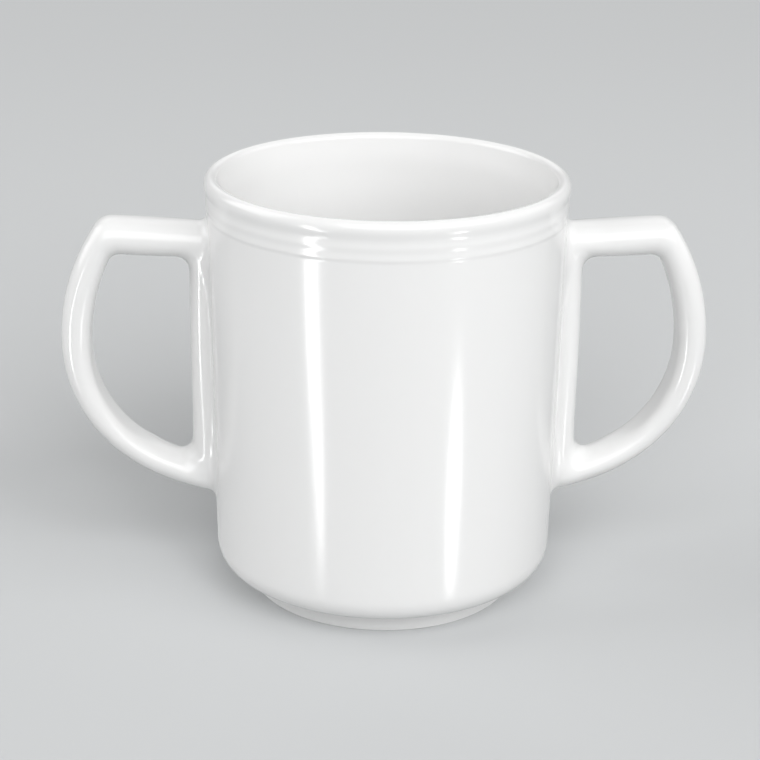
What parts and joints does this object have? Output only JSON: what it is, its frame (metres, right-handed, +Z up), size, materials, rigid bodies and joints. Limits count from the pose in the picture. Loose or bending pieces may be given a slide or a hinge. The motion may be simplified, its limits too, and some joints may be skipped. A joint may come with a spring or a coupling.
{
  "type": "two-handled mug",
  "caption": "White porcelain mug with a closed D-shaped handle on each side, fine relief rings below the lip and a recessed stacking foot.",
  "frame": {"origin": "on the mug's axis, in the plane of the foot's standing ring", "axes": "+Z up along the mug's axis to the rim, +X out along the right handle, -X out along the left handle"},
  "size_m": [0.1444, 0.08, 0.0962],
  "materials": {
    "white_glaze": "white porcelain under a clear gloss glaze, bare and matt on the standing ring"
  },
  "bodies": {
    "root": {"mug_body": "white_glaze", "left_handle": "white_glaze", "right_handle": "white_glaze", "left_handle_slip": "white_glaze", "right_handle_slip": "white_glaze"}
  },
  "joints": []
}
